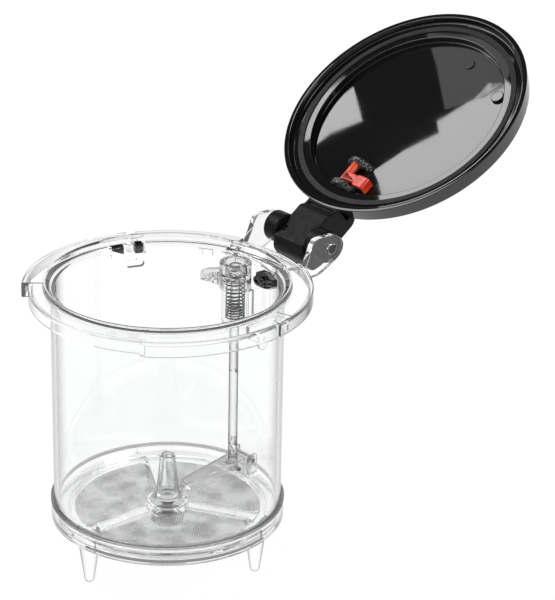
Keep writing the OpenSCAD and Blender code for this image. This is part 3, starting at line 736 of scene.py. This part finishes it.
# %% Thin edges in the bar finish
INSIDE_BORE, OUTSIDE_SKIRT, EARS_FROM_Y = 45.95, 57.5, 60


def outlined(obj, chosen):
    """Gives the bar finish to the faces whose centres, in millimetres, pass a test of x, y, z."""
    obj.data.materials.append(clear_bar)
    c = np.empty(len(obj.data.polygons) * 3)
    obj.data.polygons.foreach_get("center", c)
    picked = chosen(*(c.reshape(-1, 3).T / MM))
    obj.data.polygons.foreach_set("material_index", picked.astype(int))
    print(obj.name, "outlined faces", int(picked.sum()))


def stops_and_rim(x, y, z):
    """True inside the tube's bore, and outside the skirt but not on the ears."""
    r = np.hypot(x, y)
    return (r < INSIDE_BORE) | (r > OUTSIDE_SKIRT) & (y < EARS_FROM_Y)


outlined(canister, stops_and_rim)

# %% [markdown]
# The bottom is a second moulding: a ring that takes the tube, a shallow funnel with the drain hole,
# and three feet that taper to blunt ends. They are turned forms, joined by boolean so that no wall
# is left inside the clear plastic, where it would show as a false line.

# %% Base with drain floor
BASE = [(46.8, -90.6, 0.2), (49.2, -90.6, 0.3), (49.2, -98, 0.5), (46.6, -98, 0.3),
        (46.3, -97.5, 0.3), (34, -97.5, 1), (10, -100.3, 1), (5.2, -100.3, 0.2),
        (5.2, -98.8, 0.2), (10, -98.8, 1), (34, -96, 1), (46.8, -96, 0.2)]
SPINDLE_RING = [(2.46, -100.3, 0.15), (3.5, -100.3, 0.15), (3.5, -98.8, 0.15), (2.46, -98.8, 0.15)]
SPOKES_AT, THIRD = (30, 150, 270), 120
base = build("base_moulding", [turned(profile(BASE), cols=360)], sharp=50)
guide = [turned(profile(SPINDLE_RING, 3), cols=48)]
for a in SPOKES_AT:
    c, s = math.cos(math.radians(a)), math.sin(math.radians(a))
    guide.append(rod((3.2 * c, 3.2 * s, -99.7), (5.9 * c, 5.9 * s, -99.7), 0.55, 0.05, 12))
print("drain floor", len(base.data.vertices), "points")

# %% Feet and lugs
FOOT = [(0, -120, 0), (1.5, -120, 0.4), (2.1, -119.2, 0.6), (5.1, -97.4, 0.3), (5.0, -96.9, 0.1),
        (0, -96.9, 0)]
FEET_R, FEET_AT, FEET_BELOW = 39.2, (31, 148, 264), -100.4
feet = [turned(profile(FOOT), (FEET_R * math.cos(math.radians(a)),
                               FEET_R * math.sin(math.radians(a))), 48) for a in FEET_AT]
LUGS = [(265, 284), (12, 24), (138, 157)]
lugs = [arc_bar(a0, a1, 48.6, 50, -95, -91.2, 0.25, 40) for a0, a1 in LUGS]
combine(base, "UNION", feet + lugs + guide, 50)
combine(base, "DIFFERENCE", [arc_bar(269, 280, 49.3, 51, -94, -92.2, 0.05, 24)], 50)
dress(base, "canister", "clear_plastic", "base_ring", "drain_floor", "feet", skin=clear_base)
# the feet get the bar finish's wider painted edge shade
outlined(base, lambda x, y, z: z < FEET_BELOW)

# %% [markdown]
# Between tube and base lies a soft joint ring. From outside only its two thin lips show, as two
# fine lines. It is turned, with a groove between the lips, and keeps 0.03 mm off the plastic on
# both sides: faces in the very same place would flicker black. A round cord would show one line.

# %% Joint ring
JOINT = [(46.7, -90.57, 0.1), (49.3, -90.57, 0.1), (49.35, -90.35, 0.08), (47.7, -90.3, 0.1),
         (47.7, -89.8, 0.1), (49.35, -89.75, 0.08), (49.3, -89.53, 0.1), (46.7, -89.53, 0.1)]
joint = build("joint_ring_lips", [turned(profile(JOINT, 3), cols=300)], sharp=50)
dress(joint, "canister", "smoke_plastic", "joint_ring", skin=smoke_seal)

# %% [markdown]
# The filter is a clear frame, a rim with three spokes and a cup, that holds woven wire. The frame
# is turned, with spokes that widen where they meet the rim. The rim is open where the lever's ears
# stand, and the cup where the lever reaches in.

# %% Filter frame
RIM = [(39, -94.6, 0.1), (41, -94.6, 0.05), (41, -94.9, 0.05), (42, -95.95, 0.3),
       (46.6, -95.95, 0.3), (46.6, -92.5, 0.4), (44.6, -92.5, 0.5), (39, -93.8, 0.3)]
SPOKE = [(8.4, -2.75), (34.5, -2.75), (37, -3.6), (39.6, -6.4), (39.6, 6.4), (37, 3.6),
         (34.5, 2.75), (8.4, 2.75)]
filter_frame = build("filter_frame_moulding", [turned(profile(RIM), cols=300)], sharp=45)
cup = turned(rounded(oblong(7.4, 9, -96.9, -92.3), 0.3, 4), cols=96)
spoke = slab(rounded(SPOKE, 1.0, 4), -94.57, -93.25, 0.25)
combine(filter_frame, "UNION", [cup] + [turned_to(spoke, a) for a in SPOKES_AT], 45)
combine(filter_frame, "DIFFERENCE", [slab(oblong(-3, 3, 6.4, 9.4), -96.4, -80, AS_CUT),
                                     slab(oblong(-7.2, 7.2, 38, 58), -94.3, -80, AS_CUT)], 45)
dress(filter_frame, "canister", "clear_plastic", "filter_frame", skin=clear_base)

# %% [markdown]
# Woven wire is a plain weave: each wire passes over one crossing wire and under the next. Wire j
# has height a*sin(pi*s/p + j*pi) along its way s, with pitch p, and the wires that cross it use the
# opposite sign. That is one array for each direction. A picture of a weave on a sheet would be
# lighter, but would not catch light from the side. Three windows keep each mesh at a moderate size.

# %% Window that a mesh fills
MESH_IN, MESH_OUT, SPOKE_HALF = 9.6, 39.5, 2.5


def in_window(x, y, a0, a1):
    """True between two spokes at a0 and a1 degrees, in the ring that the mesh covers."""
    r = np.hypot(x, y)
    angle = np.degrees(np.arctan2(y, x)) % 360
    inside = (r < MESH_OUT) & (r > MESH_IN) & (((angle - a0) % 360) < (a1 - a0))
    for side in np.radians([a0, a1]):
        beside = np.abs(y * np.cos(side) - x * np.sin(side))
        inside &= (beside > SPOKE_HALF) | (x * np.cos(side) + y * np.sin(side) < 0)
    return inside


# %% Woven wire in three windows
PITCH, WIRE, SWING, MESH_Z, SAG, MESH_REACH = 0.7, 0.11, 0.075, -94.75, 0.12, 41


def woven(a0, a1):
    """Wires of a plain weave inside the sector a0..a1 degrees. Station i of wire j lies at
    (i*p/2, j*p) with height +-a*sin(pi*i/2 + pi*j); stations outside the window shrink to a tip.
    The whole weave sags by a slow product of two sines."""
    n = int(MESH_REACH / PITCH) + 1
    j = np.arange(-n, n + 1)[:, None]
    i = np.arange(-2 * n, 2 * n + 1)[None, :]
    along, across = np.broadcast_arrays(i * PITCH / 2, (j + 0.5) * PITCH)
    wave = SWING * np.cos(np.pi * (i / 2 + j)) * np.ones_like(along)
    corner = np.radians([45, 135, 225, 315])
    k = np.arange(4)
    shells = []
    for swap in (False, True):
        x, y = (across, along) if swap else (along, across)
        inside = in_window(x, y, a0, a1)
        size = np.where(inside, WIRE, 0.0)[..., None]
        side, rise = size * np.cos(corner), size * np.sin(corner)
        sag = SAG * np.sin(x / 6.1 + 0.7) * np.sin(y / 7.7 + 0.4)
        z = MESH_Z + sag[..., None] + (wave if swap else -wave)[..., None] + rise
        px = x[..., None] + (side if swap else 0 * side)
        py = y[..., None] + (0 * side if swap else side)
        index = np.arange(inside.size).reshape(inside.shape)
        used = inside[:, :-1] | inside[:, 1:]
        first, second = index[:, :-1][used][:, None] * 4, index[:, 1:][used][:, None] * 4
        ahead = (k + 1) % 4
        quads = np.stack([first + k, first + ahead, second + ahead, second + k], -1).reshape(-1, 4)
        keep, packed = np.unique(quads, return_inverse=True)
        points = np.stack([px, py, z], -1).reshape(-1, 3)[keep]
        shells.append((points, packed.reshape(-1, 4).tolist()))
    return shells


for n, a0 in enumerate(SPOKES_AT, 1):
    window = build(f"filter_mesh_{n}", woven(a0, a0 + THIRD), sharp=80)
    dress(window, "canister", "mesh_steel", "filter_mesh")

# %% [markdown]
# The push rod stands in a guide tube on the wall, with the spring round it. The guide tube is a
# turned cup on a web. It could be one grid with a fold for the web, but a joined slab is simpler.
# The bore is cut once more after that, so that the web ends at the tube's inside.

# %% Guide tube
ROD_Y = 36.6
GUIDE_TUBE = [(2.15, -20.5, 0.1), (5.8, -20.5, 0.4), (5.8, -1, 0.2), (5.1, -1, 0.2),
              (5.1, -19.5, 0.3), (2.15, -19.5, 0.1)]
guide_tube = build("guide_tube_moulding", [turned(profile(GUIDE_TUBE), (0, ROD_Y), 96)], sharp=45)
web = [slab(rounded(oblong(-1.2, 1.2, 41.9, 46.3), 0.3, 3), -20.4, -8.5, 0.2)]
web += [slab(rounded(oblong(x - 0.8, x + 0.8, 39.9, 45.3), 0.3, 3), -20.4, -18, 0.2)
        for x in (-4.6, 4.6)]
combine(guide_tube, "UNION", web, 45)
bore = rod((0, ROD_Y, -19.49), (0, ROD_Y, 5), 5.09, AS_CUT, 96)
combine(guide_tube, "DIFFERENCE", [bore], 45)
dress(guide_tube, "canister", "clear_plastic", "guide_tube")

# %% [markdown]
# The rod is a plain round bar with two flat slots through it, as mouldings have to save plastic,
# and a cross hole for the pin that takes the lever along. Cutting them leaves the bar's sides true,
# where a grid would need extra rows round each opening.

# %% Push rod
ROD_SLOTS = [(-43.4, -29.4), (-78, -73.6)]
push_rod = build("push_rod_bar", [rod((0, ROD_Y, -90.2), (0, ROD_Y, 0.2), 2.05, 0.3, 64)], sharp=45)
openings = [slab(rounded(oblong(-5, 5, z0, z1), 0.02, 3), ROD_Y - 0.5, ROD_Y + 0.5, AS_CUT, "yxz")
            for z0, z1 in ROD_SLOTS]
openings.append(cross_rod(-9, 9, (ROD_Y, -88.6), 0.93))
combine(push_rod, "DIFFERENCE", openings, 45)
dress(push_rod, "plunger", "clear_plastic", "push_rod", skin=clear_rod)

# %% [markdown]
# The spring is the true coil: a point runs round the rod while its height grows as 0.66 t + 0.34 t
# squared, so the turns lie closer together at the bottom. A screw modifier would space them evenly.


# %% Spring
def coil(curls=12, r=3.9, wire=0.3, z0=-18.88, rise=18.48, per_turn=40, sides=12, end=0.28):
    """A round wire carried along the coil P(t) = (r cos a, r sin a, z0 + rise(0.66 t + 0.34 t^2))
    with a = 2 pi curls t. Its section is spanned by the outward and the upward normal of the path,
    and a last step of the length end turns both tips upright."""
    t = np.linspace(0, 1, curls * per_turn + 1)
    a = 2 * np.pi * curls * t
    z = z0 + rise * (0.66 * t + 0.34 * t * t)
    path = np.stack([r * np.cos(a), ROD_Y + r * np.sin(a), z], -1)
    path = np.concatenate([[path[0] - (0, 0, end)], path, [path[-1] + (0, 0, end)]])
    a = np.concatenate([a[:1], a, a[-1:]])
    way = np.gradient(path, axis=0)
    way[[0, -1]] = (0, 0, 1)
    way /= np.linalg.norm(way, axis=1, keepdims=True)
    side = np.stack([np.cos(a), np.sin(a), 0 * a], -1)
    side -= way * np.sum(side * way, 1, keepdims=True)
    side /= np.linalg.norm(side, axis=1, keepdims=True)
    up = np.cross(way, side)
    k = np.linspace(0, 2 * np.pi, sides, endpoint=False)[None, :, None]
    return shell(path[:, None] + wire * (np.cos(k) * side[:, None] + np.sin(k) * up[:, None]))


spring = build("spring_coil", [coil()], sharp=70)
dress(spring, "plunger", "spring_steel", "spring")
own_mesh(spring)

# %% [markdown]
# The cap sits on the rod over the guide tube, in smoky clear plastic. Its top is an open well with
# a hub and crossed ribs, and a wing of three cells leans out from one side. Body, ribs and wing are
# joined first and hollowed after, so that no rib stands in a hole.

# %% Cap
CAP = [(6.15, -5, 0.2), (6.75, -5, 0.25), (6.75, 6.6, 0.35), (4.5, 6.6, 0.35), (4.5, 1.4, 0.4),
       (2.8, 1.4, 0.3), (2.8, 5.2, 0.2), (1.6, 5.2, 0.2), (1.6, 3, 0.2), (0, 3, 0), (0, 0.2, 0),
       (6.15, 0.2, 0.3)]
WING = [(-5.6, 2.6), (-17.6, -1.6), (-18.8, -3.6), (-18.4, -6.6), (-5.6, -5)]
cap = build("cap_moulding", [turned(profile(CAP), (0, ROD_Y), 128)], sharp=45)
cap_parts = []
for a in (45, 135):
    c, s = math.cos(math.radians(a)), math.sin(math.radians(a))
    loop = np.array([(u * c - v * s, ROD_Y + u * s + v * c)
                     for u, v in ((-6.3, -0.4), (6.3, -0.4), (6.3, 0.4), (-6.3, 0.4))])
    cap_parts.append(slab(rounded(loop, 0.1, 3), 1.0, 4.4, 0.15))
cap_parts.append(slab(rounded(WING, 0.8, 5), 32.8, 36.6, 0.3, "yxz"))
cap_parts.append(cross_rod(6.4, 8.2, (ROD_Y, 2.2), 1.5, 0.5))
combine(cap, "UNION", cap_parts, 45)
print("cap joined", len(cap.data.vertices), "points")

# %% Hollows of the cap
CELLS = [(-17.3, -14.5, -2.6), (-13.6, -11.1, -1.0), (-10.2, -7.8, 0.2)]
CELL_SLOPE = 1.1
hollows = [rod((0, ROD_Y, 3), (0, ROD_Y, 9), 1.6, AS_CUT, 48),
           rod((0, ROD_Y, -7), (0, ROD_Y, 0.19), 6.14, AS_CUT, 96)]
for x0, x1, z1 in CELLS:
    cell = rounded([(x0, -9), (x1, -9), (x1, z1), (x0, z1 - CELL_SLOPE)], 0.15, 3)
    hollows.append(slab(cell, 33.8, 35.6, 0.1, "yxz"))
combine(cap, "DIFFERENCE", hollows, 45)
dress(cap, "plunger", "smoke_plastic", "cap")

# %% [markdown]
# The valve post is a slim hollow cone on a round flange, with a groove that the lever's tip reaches
# into. Two cones, one cut out of the other, would do, but one turned outline makes all of it at
# once, inside and out.

# %% Valve post
POST = [(0, -94.2, 0), (7, -94.2, 0.3), (7, -92.9, 0.3), (3.4, -92.9, 0.2), (3.4, -90.7, 0.2),
        (6.2, -90.7, 0.3), (6.2, -89.9, 0.3), (5, -89.9, 0.5), (3.1, -71.5, 0.35),
        (2.2, -71.5, 0.3), (3.8, -88.3, 0.8), (0, -88.3, 0)]
post = build("valve_post_moulding", [turned(profile(POST, 5), cols=96)], sharp=45)
dress(post, "valve", "clear_plastic", "valve_post", skin=clear_bar)

# %% [markdown]
# A small black block hugs the wall behind the rod. Its outline is a polygon along the wall and in
# height, and its faces bend with the wall because the outline is laid out by angle. A flat block
# would touch the wall along one line only.

# %% Stop block
BLOCK = [(-12.4, 0.8), (-8, -2), (-2.4, -3.9), (2.6, -4.8), (5.6, -4.9), (7.2, -4), (7.8, -2.6),
         (7, -1.2), (5.6, -0.8), (5.6, 1), (2.6, 2.6), (-3, 3.6), (-12.4, 3.6)]
SLOT = [(2.2, -3.5), (6.1, -3.5), (6.6, -2.8), (6.1, -2.1), (2.2, -2.1), (1.7, -2.8)]
BLOCK_AT, BLOCK_RAISED = 76.4, 0.6


def on_wall(outline, r0, r1, middle, corner=0.8):
    """An outline of (distance along the wall, height) as a curved plate between two radii. A point
    at distance s sits at the angle middle + s/46 radians."""
    p = rounded(outline, corner, 5)
    radii = np.array([r0, r0 + 0.2, r1])[:, None]
    inset = np.array([0.2, 0, 0])[:, None, None]
    flat = p[None] - outward(p)[None] * inset
    return shell(polar(radii, flat[..., 1], middle + np.degrees(flat[..., 0] / TUBE_IN)))


def raised(outline):
    """The outline moved up to the block's place on the wall."""
    return [(along, height + BLOCK_RAISED) for along, height in outline]


block = build("stop_block_moulding", [on_wall(raised(BLOCK), 43.7, 45.98, BLOCK_AT)], sharp=35)
combine(block, "DIFFERENCE", [on_wall(raised(SLOT), 40, 44.3, BLOCK_AT)], 35)
dress(block, "canister", "black_plastic", "stop_block")

# %% [markdown]
# Two black pads fill the pockets between the ribs at the back of the collar, where they key the
# canister to its machine. They are curved plates as well, because plain blocks would cut into the
# tube or stand off it.

# %% Key pads
PAD_LEFT = oblong(-1.6, 1.6, 1.05, 4.4)
PAD_RIGHT = [(-2.7, 1.65), (-1.9, 1.65), (2.7, 3.8), (2.7, 4.4), (-2.7, 4.4)]
keys = build("key_pads", [on_wall(PAD_LEFT, 48.05, 51.55, 155.6, 0.15),
                          on_wall(PAD_RIGHT, 48.05, 50.4, 167.15, 0.15)], sharp=35)
dress(keys, "canister", "black_plastic", "key_blocks", skin=satin)

# %% [markdown]
# The lid is a shallow black dish, drawn closed and then turned about its hinge to where it rests
# open: upright outlines are far easier to draw and to check than leaning ones. A turned outline
# gives its rim, the step inside it and the flat, with edges that catch the light.

# %% Lid
OPEN_BY = 145
DISH = [(0, 12.8, 0), (44.3, 12.8, 0), (45.4, 12.8, 0.5), (45.4, 9.6, 0.35), (53.9, 9.6, 0.6),
        (54.6, 6.7, 0.35), (57, 6.7, 0.35), (55.4, 14.2, 0.6), (54.6, 15, 0.6), (53.2, 15, 0),
        (0, 15, 0)]


def opened(form):
    """Turns a shell that was drawn on the closed lid about the hinge pin, to the open lid."""
    a = math.radians(-OPEN_BY)
    y, z = form[0][:, 1] - HINGE_AT[0], form[0][:, 2] - HINGE_AT[1]
    return np.stack([form[0][:, 0], HINGE_AT[0] + y * math.cos(a) - z * math.sin(a),
                     HINGE_AT[1] + y * math.sin(a) + z * math.cos(a)], -1), form[1]


lid = build("lid_dish", [opened(turned(profile(DISH, 5), cols=480))], sharp=40)
bosses = [rod((33.2, -24.9, 11.6), (33.2, -24.9, 13.2), 3, 0.35, 48),
          rod((7.1, -36, 12.2), (7.1, -36, 13.2), 2.4, 0.3, 48)]
combine(lid, "UNION", [opened(b) for b in bosses], 40)
dress(lid, "lid", "black_plastic", "lid_shell", "lid_inner_ring")

# %% [markdown]
# The arm joins the lid to its hinge. It is one slab, broad and flat over the lid and thick behind
# it, with a barrel on each side that runs between the ears. The slab is drawn from the side, where
# all its bends show. From above it would be a plain strip that had to be bent later.

# %% Lid arm
ARM = [(55.4, 6.75, 0.1), (59.2, 6.7, 0.4), (61.5, 5, 0.8), (79.5, 5, 0.8), (83.1, 9.8, 1.6),
       (83, 17.7, 2.5), (77, 19.8, 2.5), (53.6, 19.8, 2), (50.3, 17, 1), (50.3, 14.6, 0.2),
       (55.4, 14.6, 0.1)]
ARM_HALF, BARREL_END, BARREL_R = 9.3, 16.7, 6.8
arm_slab = slab(profile(ARM, 6), -ARM_HALF, ARM_HALF, 0.5, "xyz", 5)
arm = build("lid_arm_moulding", [opened(arm_slab)], sharp=35)
barrels = [cross_rod(s * 8.9, s * BARREL_END, HINGE_AT, BARREL_R, 0.6, 96) for s in (-1, 1)]
combine(arm, "UNION", [opened(b) for b in barrels], 35)
marks = [cross_rod(-30, 30, HINGE_AT, 2.06, AS_CUT, 48),
         rod((-6.3, 74.6, 3), (-6.3, 74.6, 5.6), 1.6, 0.2, 40),
         slab(rounded(oblong(-7.7, 7.7, 57.6, 58.9), 0.3, 3), 4, 7.5, 0.1)]
combine(arm, "DIFFERENCE", [opened(m) for m in marks], 35)
dress(arm, "lid", "black_plastic", "lid_arm", skin=satin)

# %% [markdown]
# Inside the lid two rough black brackets carry a red rocker. Each bracket is a rounded dome, 3 mm
# thick. Half a sphere would be too fat, so it is a slab of that outline, and wide rounding on its
# rims gives the soft look of a cast block.

# %% Brackets
DOME = [(-10.5, 13), (-10.5, 12), (-9.5, 10.6), (-8.1, 9.2), (-6.1, 8), (-4.5, 7.6), (-2.5, 7.6),
        (-0.9, 8), (1.1, 9.2), (2.5, 10.6), (3.5, 12), (3.5, 13)]
BRACKETS_Y, BRACKET_HALF = (29.9, 42.6), 1.5
domes = [slab(rounded(DOME, 0.7, 4), y - BRACKET_HALF, y + BRACKET_HALF, 0.9, "yxz", 6)
         for y in BRACKETS_Y]
brackets = build("rocker_brackets_moulding", [opened(d) for d in domes], sharp=35)
dress(brackets, "lid", "black_plastic", "rocker_brackets", skin=grained)

# %% [markdown]
# The rocker turns on a pin between the brackets. A neck reaches from its hub out over the cap and
# ends in a pad with a lip that is turned back towards the lid. When the lid closes, the pad presses
# the cap down. Three simple forms joined are easier to keep to size than one shaped by hand.

# %% Rocker
HUB_AT = (-3.5, 10)
PAD = [(4.2, 7.6, 0.4), (9.6, 7.6, 0.5), (10.3, 8.3, 0.5), (10.3, 12.4, 0.4), (8.9, 12.4, 0.4),
       (8.9, 9.6, 0.4), (4.2, 9.6, 0.4)]
hub = rod((HUB_AT[0], 31.4, HUB_AT[1]), (HUB_AT[0], 41.1, HUB_AT[1]), 1.8, 0.3, 48)
rocker = build("rocker_moulding", [opened(hub)], sharp=35)
neck = slab(rounded(oblong(HUB_AT[0], 4.7, 37, 40.8), 0.4, 4), 7.85, 9.75, 0.4)
pad = slab(profile(PAD, 5), 36.6, 42.1, 0.35, "yxz")
combine(rocker, "UNION", [opened(neck), opened(pad)], 35)
dress(rocker, "rocker_body", "red_plastic", "rocker")
